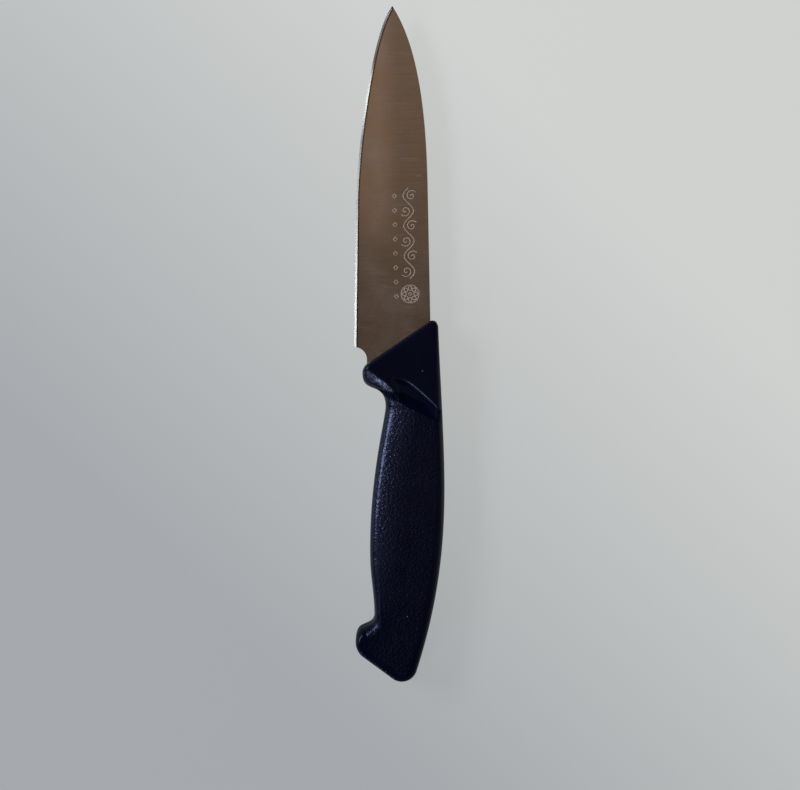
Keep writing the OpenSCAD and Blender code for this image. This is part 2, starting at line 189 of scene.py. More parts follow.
def smoothRange(value, fromLow, fromHigh, toLow=0, toHigh=1):
    return remap(value, fromLow, fromHigh, toLow, toHigh, interpolation_type="SMOOTHSTEP")


def blendColours(share, first, second):
    node = addNode("ShaderNodeMix", share, data_type="RGBA")
    for socket, colour in zip(node.inputs[6:8], (first, second)):
        setInput(socket, (*colour, 1) if isinstance(colour, tuple) else colour)
    return Flow(node.outputs[2])


# Materials
def newMaterial(name, **constants):
    material = bpy.data.materials.new(name)
    material.use_nodes = True
    building["tree"] = material.node_tree
    return material, setInputs(material.node_tree.nodes["Principled BSDF"], **constants)


def objectPlace(scale=(1, 1, 1), turn=(0, 0, 0), shift=(0, 0, 0)):
    return flow("ShaderNodeMapping", flow("ShaderNodeTexCoord", output="Object"), shift, turn, scale)


def placeAlong(axis):
    return flow("ShaderNodeSeparateXYZ", objectPlace(), output=axis)


def attribute(name):
    return flow("ShaderNodeAttribute", attribute_name=name, output="Fac")


def noise(place, size, detail=2, roughness=0.5):  # size is that of one blotch, in metres
    node = setInputs(addNode("ShaderNodeTexNoise", place), Scale=1 / size, Detail=detail, Roughness=roughness)
    return Flow(node.outputs["Fac"])


def varied(value, amount):  # most of a noise, spread between two amounts
    return remap(value, 0.3, 0.7, *amount)


def bump(height, **settings):
    return Flow(setInputs(addNode("ShaderNodeBump"), Height=height, **settings).outputs[0])


def specks(size):  # small round marks in a share of the cells
    spacing, radius, chosen = size
    cells = setInputs(addNode("ShaderNodeTexVoronoi", objectPlace()), Scale=1 / spacing)
    spot = remap(Flow(cells.outputs["Distance"]), 0.5 * radius / spacing, radius / spacing, 1, 0)
    return spot * above(chosen, flow("ShaderNodeSeparateColor", Flow(cells.outputs["Color"])))


plastic = {
    "colour": (0.0013, 0.0021, 0.0100),
    "deepColour": (0.0008, 0.0014, 0.0075),
    "ior": 1.49,
    "roughness": 0.25,
    "wornRoughness": (-0.03, 0.04),
    "fineRoughness": (-0.03, 0.03),
    "wornSize": 14 * mm,
    "specularLevel": 0.36,
    # the specular level where the painted shade is full
    "shadedLevel": 0.04,
    "sheenTint": (0.6, 0.68, 1.0),
    "grainSize": 0.85 * mm,
    "grainSmoothness": 0.6,
    "pitSize": 1.105 * mm,
    "fineGrainSize": 0.4 * mm,
    "fineGrainShare": 0.6,
    "grainHeight": 0.12 * mm,
    "plainStrength": 0.12,
    "dust": (9 * mm, 0.3 * mm, 0.3),
    "dustColour": (0.16, 0.16, 0.15),
}


def plasticMaterial():
    level, shaded = plastic["specularLevel"], plastic["shadedLevel"]
    material, shader = newMaterial(
        "navyPlastic", IOR=plastic["ior"], Specular_IOR_Level=level, Specular_Tint=plastic["sheenTint"])
    place = objectPlace()
    cells = addNode("ShaderNodeTexVoronoi", place, feature="SMOOTH_F1")
    setInputs(cells, Scale=1 / plastic["grainSize"], Smoothness=plastic["grainSmoothness"])
    fine = noise(place, plastic["fineGrainSize"], 1)
    pits = noise(place, plastic["pitSize"])
    height = Flow(cells.outputs["Distance"]) + pits + plastic["fineGrainShare"] * fine
    strength = remap(attribute("grain"), 0, 1, plastic["plainStrength"], 1)
    worn = noise(place, plastic["wornSize"], 3)
    dye = blendColours(worn, plastic["deepColour"], plastic["colour"])
    rough = varied(worn, plastic["wornRoughness"]) + varied(fine, plastic["fineRoughness"])
    # Painted shading: the specular level falls towards the shaded level as painted shade, and rises above its
    # own level as a painted highlight where the value is below 0
    setInputs(shader, Normal=bump(height, Distance=plastic["grainHeight"], Strength=strength),
              Base_Color=blendColours(specks(plastic["dust"]), dye, plastic["dustColour"]),
              Roughness=rough + plastic["roughness"],
              Specular_IOR_Level=attribute("paintedShading") * (shaded - level) + level)
    return material


steel = {
    "colour": (0.56, 0.505, 0.44),
    "stain": (0.48, 0.42, 0.355),
    "stainSize": 11 * mm,
    "stainRange": (0.35, 0.7, 0.1, 0.9),
    "roughness": 0.24,
    "stainRoughness": (-0.03, 0.05),
    "lineRoughness": (-0.04, 0.04),
    "lineSize": 0.09 * mm,
    "lineLength": 9 * mm,
    "lineHeight": 0.0035 * mm,
    "bandSize": 1.1 * mm,
    "bandLength": 22 * mm,
    "bandShare": 0.6,
    "bandRange": (0.35, 0.65, -0.25, 0.25),
    # a painted highlight: a lighter stretch of the ground face
    "paintedSheen": (0.74, 0.64, 0.56),
    "sheenX": (4 * mm, -6 * mm),
    "sheenY": (26 * mm, 60 * mm),
    # painted shade: the ground face darker towards the heel
    "heelShade": (0.46, 0.41, 0.37),
    "heelShadeY": (52 * mm, 8 * mm),
    "heelShadeShare": 0.8,
    "scratchTone": (0.85, 0.74, 0.62),
    "scratchShare": 0.45,
    "scratchSize": 2.4 * mm,
    "scratchLength": 60 * mm,
    "scratchWidth": 0.03,
    "scratchPatch": 8 * mm,
    "scratchPatchRange": (0.56, 0.66),
    "scratchAngles": (35, -62),
    "specks": (9 * mm, 0.3 * mm, 0.4),
    "speckTone": (0.95, 0.82, 0.66),
    "edgeShade": (0.16, 0.13, 0.11),
    "edgeShadeReach": (0.225 * mm, 0.75 * mm),
    "bevelColour": (0.98, 0.93, 0.8),
    "bevelDulling": 0.93,
    "bevelRoughness": (0.23, 0.34),
    "bevelLine": 0.12 * mm,
    "bevelLineLength": 0.6 * mm,
    "bevelLineHeight": 0.0008 * mm,
    "bevelBlotch": 2.5 * mm,
    "bevelShades": [  # painted shade: each darker tone takes over between two places along the edge
        (98 * mm, 76 * mm, (0.1, 0.093, 0.08)),
        (99 * mm, 107 * mm, (0.26, 0.22, 0.175)),
        (114 * mm, 121 * mm, (0.1, 0.093, 0.08)),
        (62 * mm, -6 * mm, (0.38, 0.36, 0.31)),
    ],
    "etched": (0.47, 0.37, 0.28),
    "etchedWorn": (0.36, 0.285, 0.22),
    "etchedWear": 3 * mm,
    "etchedWearRange": (0.35, 0.65),
    "etchedMetallic": 0.1,
    "etchedRoughness": 0.62,
}


def scratches(degrees, seed):  # sparse hairlines along one direction
    shift = (0.1 * seed, 0, 0)
    size = steel["scratchSize"]
    turned = objectPlace((size / steel["scratchLength"], 1, 1), (0, 0, math.radians(degrees)), shift)
    line = remap(maths("ABSOLUTE", noise(turned, size, 1) - 0.5), 0, steel["scratchWidth"], 1, 0)
    return line * remap(noise(objectPlace(shift=shift), steel["scratchPatch"]), *steel["scratchPatchRange"])


def groundLines(size, length, detail=2, roughness=0.5):  # across the blade, so along X
    return noise(objectPlace((size / length, 1, 1)), size, detail, roughness)


def steelMaterial():
    material, shader = newMaterial("groundSteel", Metallic=1.0)
    lines = groundLines(steel["lineSize"], steel["lineLength"], 3, 0.7)
    bands = groundLines(steel["bandSize"], steel["bandLength"])
    cloud = noise(objectPlace(), steel["stainSize"], 3)
    stained = remap(bands, *steel["bandRange"]) + remap(cloud, *steel["stainRange"])
    across, along = placeAlong("X"), placeAlong("Y")
    # painted highlight: lighter across part of the blade's width and length
    paintedSheen = smoothRange(across, *steel["sheenX"]) * smoothRange(along, *steel["sheenY"])
    scratched = most(*(scratches(angle, seed + 1) for seed, angle in enumerate(steel["scratchAngles"])))
    ground = steel["colour"]
    # Stains, a painted highlight, painted shade towards the heel, scratches, specks and painted shade next to
    # the bevel
    for share, tone in (
        (stained, "stain"),
        (paintedSheen, "paintedSheen"),
        (smoothRange(along, *steel["heelShadeY"], 0, steel["heelShadeShare"]), "heelShade"),
        (steel["scratchShare"] * scratched, "scratchTone"),
        (specks(steel["specks"]), "speckTone"),
        (remap(attribute("inside"), *steel["edgeShadeReach"], 1, 0), "edgeShade"),
    ):
        ground = blendColours(share, ground, steel[tone])
    rough = varied(cloud, steel["stainRoughness"]) + varied(lines, steel["lineRoughness"])
    setInputs(shader, Base_Color=ground, Roughness=rough + steel["roughness"],
              Normal=bump(steel["bandShare"] * bands + lines, Distance=steel["lineHeight"]))
    return material


def bevelMaterial():
    material, shader = newMaterial("honedSteel", Metallic=1.0)
    lines = groundLines(steel["bevelLine"], steel["bevelLineLength"], 2, 0.6)
    dulled = tuple(steel["bevelDulling"] * c for c in steel["bevelColour"])
    honed = blendColours(noise(objectPlace(), steel["bevelBlotch"]), dulled, steel["bevelColour"])
    along = placeAlong("Y")
    # painted shade along the edge where the bevel catches less light
    for start, end, tone in steel["bevelShades"]:
        honed = blendColours(smoothRange(along, start, end), honed, tone)
    setInputs(shader, Base_Color=honed, Roughness=varied(lines, steel["bevelRoughness"]),
              Normal=bump(lines, Distance=steel["bevelLineHeight"]))
    return material


def etchedMaterial():  # pale frosted steel, worn thin in patches
    material, shader = newMaterial(
        "etchedSteel", Metallic=steel["etchedMetallic"], Roughness=steel["etchedRoughness"])
    wear = remap(noise(objectPlace(), steel["etchedWear"], 3), *steel["etchedWearRange"])
    setInputs(shader, Base_Color=blendColours(wear, steel["etched"], steel["etchedWorn"]))
    return material


materials = {
    "plastic": plasticMaterial(),
    "steel": steelMaterial(),
    "bevel": bevelMaterial(),
    "etched": etchedMaterial(),
}
print("materials ready")


def meshPiece(name, points, faces, slots):
    mesh = bpy.data.meshes.new(name)
    mesh.from_pydata(points, [], faces)
    for material in slots:
        mesh.materials.append(material)
    mesh.validate()
    piece = bpy.data.objects.new(name, mesh)
    scene.collection.objects.link(piece)
    return piece


def settle(piece):  # faces outward, and nothing outside the CAD box
    mesh = piece.data
    for vertex in mesh.vertices:
        for axis in range(3):
            vertex.co[axis] = min(cadBox[1][axis], max(cadBox[0][axis], vertex.co[axis]))
    volume = 0
    mesh.calc_loop_triangles()
    for triangle in mesh.loop_triangles:
        a, b, c = (mesh.vertices[i].co for i in triangle.vertices)
        volume += a.dot(b.cross(c)) / 6
    if volume < 0:
        mesh.flip_normals()
    print(piece.name, "made:", len(mesh.polygons), "faces,", round(abs(volume) / mm ** 3), "mm3")


def newTree(name, sizes):  # a Geometry Nodes tree with one named input for each size
    tree = building["tree"] = bpy.data.node_groups.new(name, "GeometryNodeTree")
    tree.interface.new_socket("Geometry", in_out="OUTPUT", socket_type="NodeSocketGeometry")
    for label, value in sizes.items():
        kind = {int: "Int", Vector: "Vector"}.get(type(value), "Float")
        tree.interface.new_socket(label, in_out="INPUT", socket_type="NodeSocket" + kind)
    entry = addNode("NodeGroupInput")
    return {label: Flow(entry.outputs[label]) for label in sizes}


def finishTree(name, sizes, geometry, slots, selection=None):  # bakes the tree to a plain mesh
    geometry = flow("GeometryNodeRealizeInstances", geometry)
    geometry = flow("GeometryNodeSetMaterial", geometry, None, slots[0])
    if selection:
        geometry = flow("GeometryNodeSetMaterial", geometry, selection, slots[1])
    addNode("NodeGroupOutput", geometry)
    piece = meshPiece(name, [], [], [])
    modifier = piece.modifiers.new(name, "NODES")
    modifier.node_group = building["tree"]
    for socket in building["tree"].interface.items_tree:
        if socket.in_out == "INPUT":
            size = sizes[socket.name]
            modifier[socket.identifier] = list(size) if isinstance(size, Vector) else size
    evaluated = piece.evaluated_get(bpy.context.evaluated_depsgraph_get())
    mesh = bpy.data.meshes.new_from_object(evaluated)
    piece.modifiers.remove(modifier)
    piece.data = mesh
    mesh.name = name
    return piece


def inputsOf(sizes, keys, unit=mm):  # curlRadius becomes the input Curl Radius
    return {"".join(" " + c if c.isupper() else c for c in key).title(): sizes[key] * unit for key in keys}


def joinGeometry(*parts):
    node = addNode("GeometryNodeJoinGeometry")
    for part in parts:
        setInput(node.inputs[0], part)
    return Flow(node.outputs[0])


def moved(geometry, offset):
    return flow("GeometryNodeSetPosition", geometry, None, None, offset)


def placed(geometry, position):
    return flow("GeometryNodeSetPosition", geometry, None, position)


def circle(radius, points):
    node = addNode("GeometryNodeCurvePrimitiveCircle", points, mode="RADIUS")
    return Flow(setInputs(node, Radius=radius).outputs[0])


def squashed(geometry, factors):
    return placed(geometry, flow("GeometryNodeInputPosition") * factors)


def rowOf(count, start, step):
    return flow("GeometryNodeMeshLine", count, None, start, step, mode="OFFSET")


def spread(points, piece, turn=None):  # a copy of the piece on each point
    copies = flow("GeometryNodeInstanceOnPoints", points, None, piece, None, None, turn)
    return flow("GeometryNodeRealizeInstances", copies)


def store(geometry, label, value, **settings):
    return flow("GeometryNodeStoreNamedAttribute", geometry, None, label, value, **settings)


def shadeSmooth(geometry, selection, smooth):
    return flow("GeometryNodeSetShadeSmooth", geometry, selection, smooth)


# Blade: rings of columns from the spine to the edge and back along the other side, all worked out in nodes.
# Sizes are in millimetres from the front corner, where the spine enters the handle: +Y to the tip, +X to the
# spine and +Z through the thickness. The frame says where that corner is.
blade = {
    "length": 119,
    "heelWidth": 28.9,
    "heelBack": 9.3,
    "edgeWidth": 27.1,
    "edgeStraight": 45.5,
    "spineStraight": 50,
    "tipDrop": 12,
    "spineTipAngle": 32,
    "edgeTipAngle": 42,
    "edgePulls": (0.245, 0.16),
    "spinePulls": (0.356, 0.284),
    "spineThickness": 1.8,
    "tipThickness": 0.8,
    "behindEdge": 0.36,
    "bevelWidth": 0.75,
    "spineRounding": 0.16,
    "roundingShare": 0.29,
    "marginShare": 0.6,
    "edgeFlat": 0.02,
    "notchRadius": 4.7,
    "hiddenStart": 22.6,
    "shoulderY": 17.44,
    "shoulderAngle": 31,
    "frontAngle": 32.9,
    "tangLength": 95,
    "tangWidth": 13,
    "tangEndWidth": 10,
    "tangEndIn": 2,
    "tangRadius": 2,
    "tangRootDepth": 4,
    "lockHole": 5,
    "lockHoleFirst": 38,
    "lockHolePitch": 22,
    "lockHoles": 3,
    # Shares that take over where the blade narrows to the point and at the notch
    "curveEnd": 0.997,
    "bevelMost": 1 / 3,
    "bevelAtNotch": 0.4,
    "roundingMost": 0.08,
    "thinnestShare": 0.3,
}
bladeRows = {"hidden": 0, "shoulder": 1, "notch": 2, "heel": 14, "curve": 24, "tip": 124}
bladeColumns = 28  # both ways round: 0 to 2 round the spine, 12 starts the bevel and 13 is the edge
bevelColumn = 12
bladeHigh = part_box("blade")[1]
handleLow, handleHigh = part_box("handle")
corner = Vector((bladeHigh.x, bladeHigh.y - blade["length"] * mm, (handleLow.z + handleHigh.z) / 2))


def onBlade(x, y, z=0.0):
    return Vector((x, y, z)) * mm


def bladeSizes():
    heel = onBlade(-blade["heelWidth"], -blade["heelBack"])
    edgeEnd = onBlade(-blade["edgeWidth"], blade["edgeStraight"])
    tip = onBlade(-blade["tipDrop"], blade["length"])
    notchX = blade["notchRadius"] - blade["heelWidth"]
    length = blade["length"]
    spinePull, spineTipPull = (pull * (length - blade["spineStraight"]) for pull in blade["spinePulls"])
    edgePull, edgeTipPull = (pull * (length - blade["edgeStraight"]) for pull in blade["edgePulls"])
    spineAngle, edgeAngle = blade["spineTipAngle"], blade["edgeTipAngle"]
    hiddenX = notchX + (blade["hiddenStart"] - blade["shoulderY"]) / tangent(blade["shoulderAngle"])
    bevelBack = blade["heelWidth"] - blade["bevelWidth"]
    return {
        "Hidden End": onBlade(hiddenX, -blade["hiddenStart"]),
        "Shoulder": onBlade(notchX, -blade["shoulderY"]),
        "Notch Foot": onBlade(notchX, -blade["heelBack"] - blade["notchRadius"]),
        "Heel": heel,
        "Edge End": edgeEnd,
        "Edge Pull": edgeEnd + (edgeEnd - heel).normalized() * edgePull * mm,
        "Edge Tip Pull": tip - onBlade(sine(edgeAngle), cosine(edgeAngle)) * edgeTipPull,
        "Tip": tip,
        "Spine End": onBlade(0, blade["spineStraight"]),
        "Spine Pull": onBlade(0, blade["spineStraight"] + spinePull),
        "Spine Tip Pull": tip - onBlade(-sine(spineAngle), cosine(spineAngle)) * spineTipPull,
        "Corner": corner,
        "Spine Half": blade["spineThickness"] / 2 * mm,
        "Tip Half": blade["tipThickness"] / 2 * mm,
        "Edge Half": blade["edgeFlat"] / 2 * mm,
        "Grind Slope": (blade["spineThickness"] - blade["behindEdge"]) / 2 / bevelBack,
        **inputsOf(blade, ("notchRadius", "heelWidth", "bevelWidth", "spineRounding")),
    }


def tangSizes():
    first, pitch = blade["lockHoleFirst"], blade["lockHolePitch"]
    topX, endX = -blade["tangWidth"] / 2, -blade["tangEndIn"] - blade["tangEndWidth"] / 2
    root = -blade["tangRootDepth"] / cosine(blade["frontAngle"])
    return {
        "Root Front": onBlade(0, root),
        "Root Back": onBlade(-blade["tangWidth"], root - blade["tangWidth"] * tangent(blade["frontAngle"])),
        "End Back": onBlade(-blade["tangEndIn"] - blade["tangEndWidth"], -blade["tangLength"]),
        "End Front": onBlade(-blade["tangEndIn"], -blade["tangLength"]),
        "Tang Thickness": blade["spineThickness"] * mm,
        "First Hole": onBlade(mix(topX, endX, first / blade["tangLength"]), -first),
        "Hole Pitch": onBlade((endX - topX) * pitch / blade["tangLength"], -pitch),
        "Hole Radius": blade["lockHole"] / 2 * mm,
        **inputsOf(blade, ("tangRadius",)),
        **inputsOf(blade, ("lockHoles",), 1),
    }


def tangNodes(size):  # the flat tang inside the handle, with its locking holes
    border = addNode("GeometryNodeCurvePrimitiveQuadrilateral", mode="POINTS")
    for socket, label in zip(border.inputs[7:11], ("Root Front", "Root Back", "End Back", "End Front")):
        setInput(socket, size[label])
    rounded = flow("GeometryNodeFilletCurve", Flow(border.outputs[0]), 8, size["Tang Radius"], mode="POLY")
    places = rowOf(size["Lock Holes"], size["First Hole"], size["Hole Pitch"])
    lines = joinGeometry(rounded, spread(places, circle(size["Hole Radius"], 40)))
    plate = flow("GeometryNodeFillCurve", lines, mode="TRIANGLES")
    thickness = size["Tang Thickness"]
    thick = flow("GeometryNodeExtrudeMesh", plate, None, combine(z=1), thickness, False, mode="FACES")
    closed = flow("GeometryNodeMergeByDistance", joinGeometry(thick, flow("GeometryNodeFlipFaces", plate)))
    return shadeSmooth(moved(closed, combine(z=thickness * -0.5)), None, False)


def makeBlade():
    sizes = {**bladeSizes(), **tangSizes()}
    size = newTree("bladeShape", sizes)
    skin = flow("GeometryNodeMeshCylinder", bladeColumns, bladeRows["tip"], 1, 1.0, 1.0, fill_type="NGON")
    index = flow("GeometryNodeInputIndex")
    row = maths("FLOOR", (index + 0.5) / bladeColumns)
    column = index - row * bladeColumns
    across = least(column, bladeColumns - 1 - column)
    side = 1 - 2 * above(column, bladeColumns / 2 - 0.5)

    def stretch(start, end, high=1):
        return remap(row, bladeRows[start], bladeRows[end], 0, high)

    # The edge runs up the shoulder, round the notch, along the straight and round to the tip
    straight = stretch("heel", "curve")
    curve = stretch("curve", "tip", blade["curveEnd"])
    turn = stretch("notch", "heel", math.pi / 2)
    lower = mix(size["Hidden End"], size["Shoulder"], stretch("hidden", "shoulder"))
    lower = mix(lower, size["Notch Foot"], stretch("shoulder", "notch"))
    lower = lower + combine(maths("COSINE", turn) - 1, maths("SINE", turn)) * size["Notch Radius"]
    edgePoints = [size[label] for label in ("Edge End", "Edge Pull", "Edge Tip Pull", "Tip")]
    spinePoints = [size[label] for label in ("Spine End", "Spine Pull", "Spine Tip Pull", "Tip")]
    edge = lower + (mix(size["Heel"], bezier(edgePoints, curve), straight) - size["Heel"])
    spineFoot = size["Heel"] * (0, 1, 0)
    spine = lower * (0, 1, 0) + (mix(spineFoot, bezier(spinePoints, curve), straight) - spineFoot)

    # Widths: the ground face narrows to the bevel, and the notch cuts across both
    reach = edge - spine
    width = flow("ShaderNodeVectorMath", reach, operation="LENGTH", output="Value")
    missing = maths("LESS_THAN", row, bladeRows["heel"] + 0.5) * (size["Heel Width"] - width)
    fullWidth = width + missing
    bevel = least(size["Bevel Width"], blade["bevelMost"] * fullWidth)
    bevelStart = fullWidth - bevel
    groundEnd = least(bevelStart, width - blade["bevelAtNotch"] * bevel)
    rounding = least(size["Spine Rounding"], blade["roundingMost"] * fullWidth)
    margin = blade["marginShare"] * rounding
    inner = blade["roundingShare"]
    out = remap(across, 0, 1, 0, inner * rounding)
    for start, end, step in (
        (1, 2, (1 - inner) * rounding),
        (2, 3, margin),
        (3, bevelColumn - 1, groundEnd - (2 * margin + rounding)),
        (bevelColumn - 1, bevelColumn, margin),
        (bevelColumn, bevelColumn + 1, width - groundEnd),
    ):
        out = out + remap(across, start, end, 0, step)

    # Half thicknesses
    full = smoothRange(curve, 0, 1, size["Spine Half"], size["Tip Half"])

    def ground(distance):
        return most(full - distance * size["Grind Slope"], blade["thinnestShare"] * full)

    bevelRise = (ground(bevelStart) - size["Edge Half"]) / bevel
    bevelHalf = (fullWidth - out) * bevelRise + size["Edge Half"]
    cut = remap(across, 0, 1, 1 - inner, 0) + remap(across, 1, 2, inner, 0)
    half = least(ground(out), bevelHalf) - cut * rounding
    skin = placed(skin, spine + reach * (out / width) + combine(z=half * side))

    # The bevel and the notch's wall stay crisp
    onBevel = above(across, bevelColumn - 0.5) * above(row, bladeRows["heel"] - 0.5)
    onWall = above(across, bevelColumn + 0.5)
    inside = groundEnd - out + 10 * missing  # from the bevel's start, and past any shade at the notch
    for label, value in (("honed", onBevel), ("crisp", most(onBevel, onWall)), ("inside", inside)):
        skin = store(skin, label, value, data_type="FLOAT", domain="POINT")

    def chosen(label):
        return above(flow("GeometryNodeInputNamedAttribute", label, data_type="FLOAT"), 0.99)

    skin = shadeSmooth(shadeSmooth(skin, None, True), chosen("crisp"), False)
    skin = store(skin, "sharp_edge", chosen("crisp"), data_type="BOOLEAN", domain="EDGE")
    both = moved(joinGeometry(tangNodes(size), skin), size["Corner"])
    return finishTree("groundBlade", sizes, both, [materials["steel"], materials["bevel"]], chosen("honed"))


# Ornament: a running scroll above a rosette, with a row of lozenges beside them, etched on the ground face
ornament = {
    "centreX": -7.4,
    "scrollStart": 16,
    "scrollPitch": 5.7,
    "scrolls": 6,
    "stemPoints": 141,
    "sway": 1.9,
    "curlRadius": 2.1,
    "curlStart": 0.12,
    "curlTurns": 1.4,
    "curlPoints": 28,
    "curlShift": 1.15,
    "rosetteY": 10.3,
    "petals": 8,
    "petalLength": 1.55,
    "petalWidth": 0.62,
    "petalPlace": 2.15,
    "ringRadius": 3.35,
    "heartRadius": 0.5,
    "lozenges": 8,
    "lozengeX": -12.6,
    "lozengeY": 9.5,
    "lozengePitch": 5.4,
    "lozengeSize": 0.8,
    "strokeWidth": 0.36,
    "strokeDepth": 0.05,
    "startHeight": 5,
}


def ornamentSizes():
    centre, start, pitch = ornament["centreX"], ornament["scrollStart"], ornament["scrollPitch"]
    return {
        "Stem Start": onBlade(centre, start),
        "Stem End": onBlade(centre, start + pitch * ornament["scrolls"]),
        "First Curl": onBlade(centre, start + pitch / 2),
        "Curl Pitch": onBlade(0, pitch),
        "Rosette Start": onBlade(centre, ornament["rosetteY"]),
        "Lozenge Start": onBlade(ornament["lozengeX"], ornament["lozengeY"]),
        "Lozenge Pitch": onBlade(0, ornament["lozengePitch"]),
        "Stroke Half": ornament["strokeWidth"] / 2 * mm,
        "Start": corner + onBlade(0, 0, ornament["startHeight"]),
        **inputsOf(ornament, ("sway", "curlStart", "curlRadius", "curlShift", "petalLength", "petalWidth",
                              "petalPlace", "ringRadius", "heartRadius", "lozengeSize", "strokeDepth")),
        **inputsOf(ornament, ("scrolls", "stemPoints", "curlTurns", "curlPoints", "petals", "lozenges"), 1),
    }


def scrollNodes(size):  # a swaying stem with a curl in each of its bends
    stem = flow("GeometryNodeCurvePrimitiveLine", size["Stem Start"], size["Stem End"])
    stem = flow("GeometryNodeResampleCurve", stem, None, size["Stem Points"])
    bend = flow("GeometryNodeSplineParameter", output="Factor") * size["Scrolls"]
    stem = moved(stem, combine(maths("SINE", bend * math.pi) * size["Sway"]))
    curl = flow("GeometryNodeCurveSpiral", size["Curl Points"], size["Curl Turns"], size["Curl Start"],
                size["Curl Radius"], 0.0)
    odd = maths("MODULO", flow("GeometryNodeInputIndex"), 2)
    places = rowOf(size["Scrolls"], size["First Curl"], size["Curl Pitch"])
    places = moved(places, combine((2 * odd - 1) * size["Curl Shift"]))
    return joinGeometry(stem, spread(places, curl, combine(z=odd * math.pi)))


def rosetteNodes(size):
    around = flow("GeometryNodeMeshCircle", size["Petals"], size["Petal Place"])
    slim = size["Petal Width"] / size["Petal Length"]
    petal = squashed(circle(size["Petal Length"], 20), combine(0.5, slim))
    turn = flow("GeometryNodeInputIndex") * (2 * math.pi) / size["Petals"]
    petals = spread(around, petal, combine(z=turn))
    flower = joinGeometry(petals, circle(size["Heart Radius"], 16), circle(size["Ring Radius"], 48))
    return moved(flower, size["Rosette Start"])


def makeOrnament(ground):
    sizes = ornamentSizes()
    size = newTree("etchedOrnament", sizes)
    places = rowOf(size["Lozenges"], size["Lozenge Start"], size["Lozenge Pitch"])
    lozenges = spread(places, circle(size["Lozenge Size"], 4))
    lines = moved(joinGeometry(scrollNodes(size), rosetteNodes(size), lozenges), size["Start"])
    ray = addNode("GeometryNodeRaycast", flow("GeometryNodeObjectInfo", ground, output="Geometry"))
    setInputs(ray, Ray_Direction=combine(z=-1))
    lines = placed(lines, Flow(ray.outputs["Hit Position"]))
    lines = flow("GeometryNodeSetCurveNormal", lines, mode="Z_UP")
    flat = combine(1, size["Stroke Depth"] / size["Stroke Half"], 1)
    strokes = addNode("GeometryNodeCurveToMesh", lines, squashed(circle(size["Stroke Half"], 8), flat))
    setInputs(strokes, Fill_Caps=True)
    return finishTree("scrollOrnament", sizes, Flow(strokes.outputs[0]), [materials["etched"]])


bladePiece = makeBlade()
settle(bladePiece)
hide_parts("blade")
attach(bladePiece, "root")

ornamentPiece = makeOrnament(bladePiece)
settle(ornamentPiece)
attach(ornamentPiece, "root")

# Handle
handle = {
    "length": 134.8,
    "backStep": 2.83,
    "frontRadius": 2.2,
    "backLean": 1,
    "buttLean": 19,
    "guard": (26, 19.6),
    "neck": (17.5, 31.8),
    "belly": (24.45, 88),
    "hollowX": 23.25,
    "hollowUp": 25.6,
    "hookX": 30.5,
    "hookUp": 14.9,
    "hookRadius": 6.5,
    "guardPulls": (7.6, 9.6),
    "neckPulls": (4, 28.662),
    "hollowPulls": (8.1, 8.1),
    "hookPulls": (6.9, 9.4),
    "backPulls": (0.38, 0.385),
    "hollowBackOff": 1.5,
    "buttAngle": 37.4,
    "buttRadius": 5.8,
    "bolsterHalf": 8,
    "neckHalf": 6.4,
    "palmHalf": 8,
    "buttHalf": 7.5,
    "palmY": 84,
    "creaseBackY": 34.6,
    "creaseBow": 5.1,
    "creaseStart": 0.2,
    "creasePeak": 0.46,
    "creaseRise": 0.75,
    "creaseSlope": 0.3,
    "creaseSoft": 0.1,
    "creasePowers": (1.35, 0.8),
    "stepStart": 0.62,
    "stepHeight": 2.1,
    "stepAngle": 46,
    "stepEdge": 0.4,
    "stepFoot": 0.03,
    "stepWidth": 0.4,
    "footShare": 0.28,
    "facetStart": (-21.1, -20.1),
    "facetTurn": -38,
    "facetSlope": 30,
    "facetEndSlope": 10,
    "facetFade": (4, 12),
    "facetEdge": 0.3,
    "foldShare": 0.84,
    "foldBackY": 39.4,
    "foldPowers": (1.3, 1.1),
    "foldFade": 1.8,
    "hookTopShare": 0.6,
    "gripBackShares": (0.4, 0.25),
    # Grain: full at 1, and each pair is where it starts and where it is full
    "facetGrain": (-0.6, 0.4),
    "foldGrainPower": 8,
    "rimGrain": 0.4,
    "rimGrainReach": (2.4, 3.6),
    # Painted shading: none at 0, painted shade that lowers the specular level up to 1, and below 0 a painted
    # highlight
    "paintedShadeReach": 0.45,
    "paintedShadeRise": (0.35, 0.9),
    "foldShadeStart": (0.42, -0.2),
    "foldShadeRise": 0.2,
    "foldShadeEnd": (1, 0.92),
    "foldShadeBack": (0.96, 0.86),
    "frontShade": 0.5,
    "hookShade": 0.6,
    "hookShadeY": (106, 114),
    "hookShadeShares": (0.5, 0.2),
    # a painted highlight on the guard's slanting underside
    "guardHighlight": 2,
    "highlightAcross": (-0.2, 0.3),
    "highlightFade": (2, 1),
    "highlightAlong": (-0.5, 1.5),
    "highlightEnd": (6.8, 3.4),
    "underShade": 0.6,
    "underShadeAcross": (1.4, 2.2),
    "draft": 0.06,
}
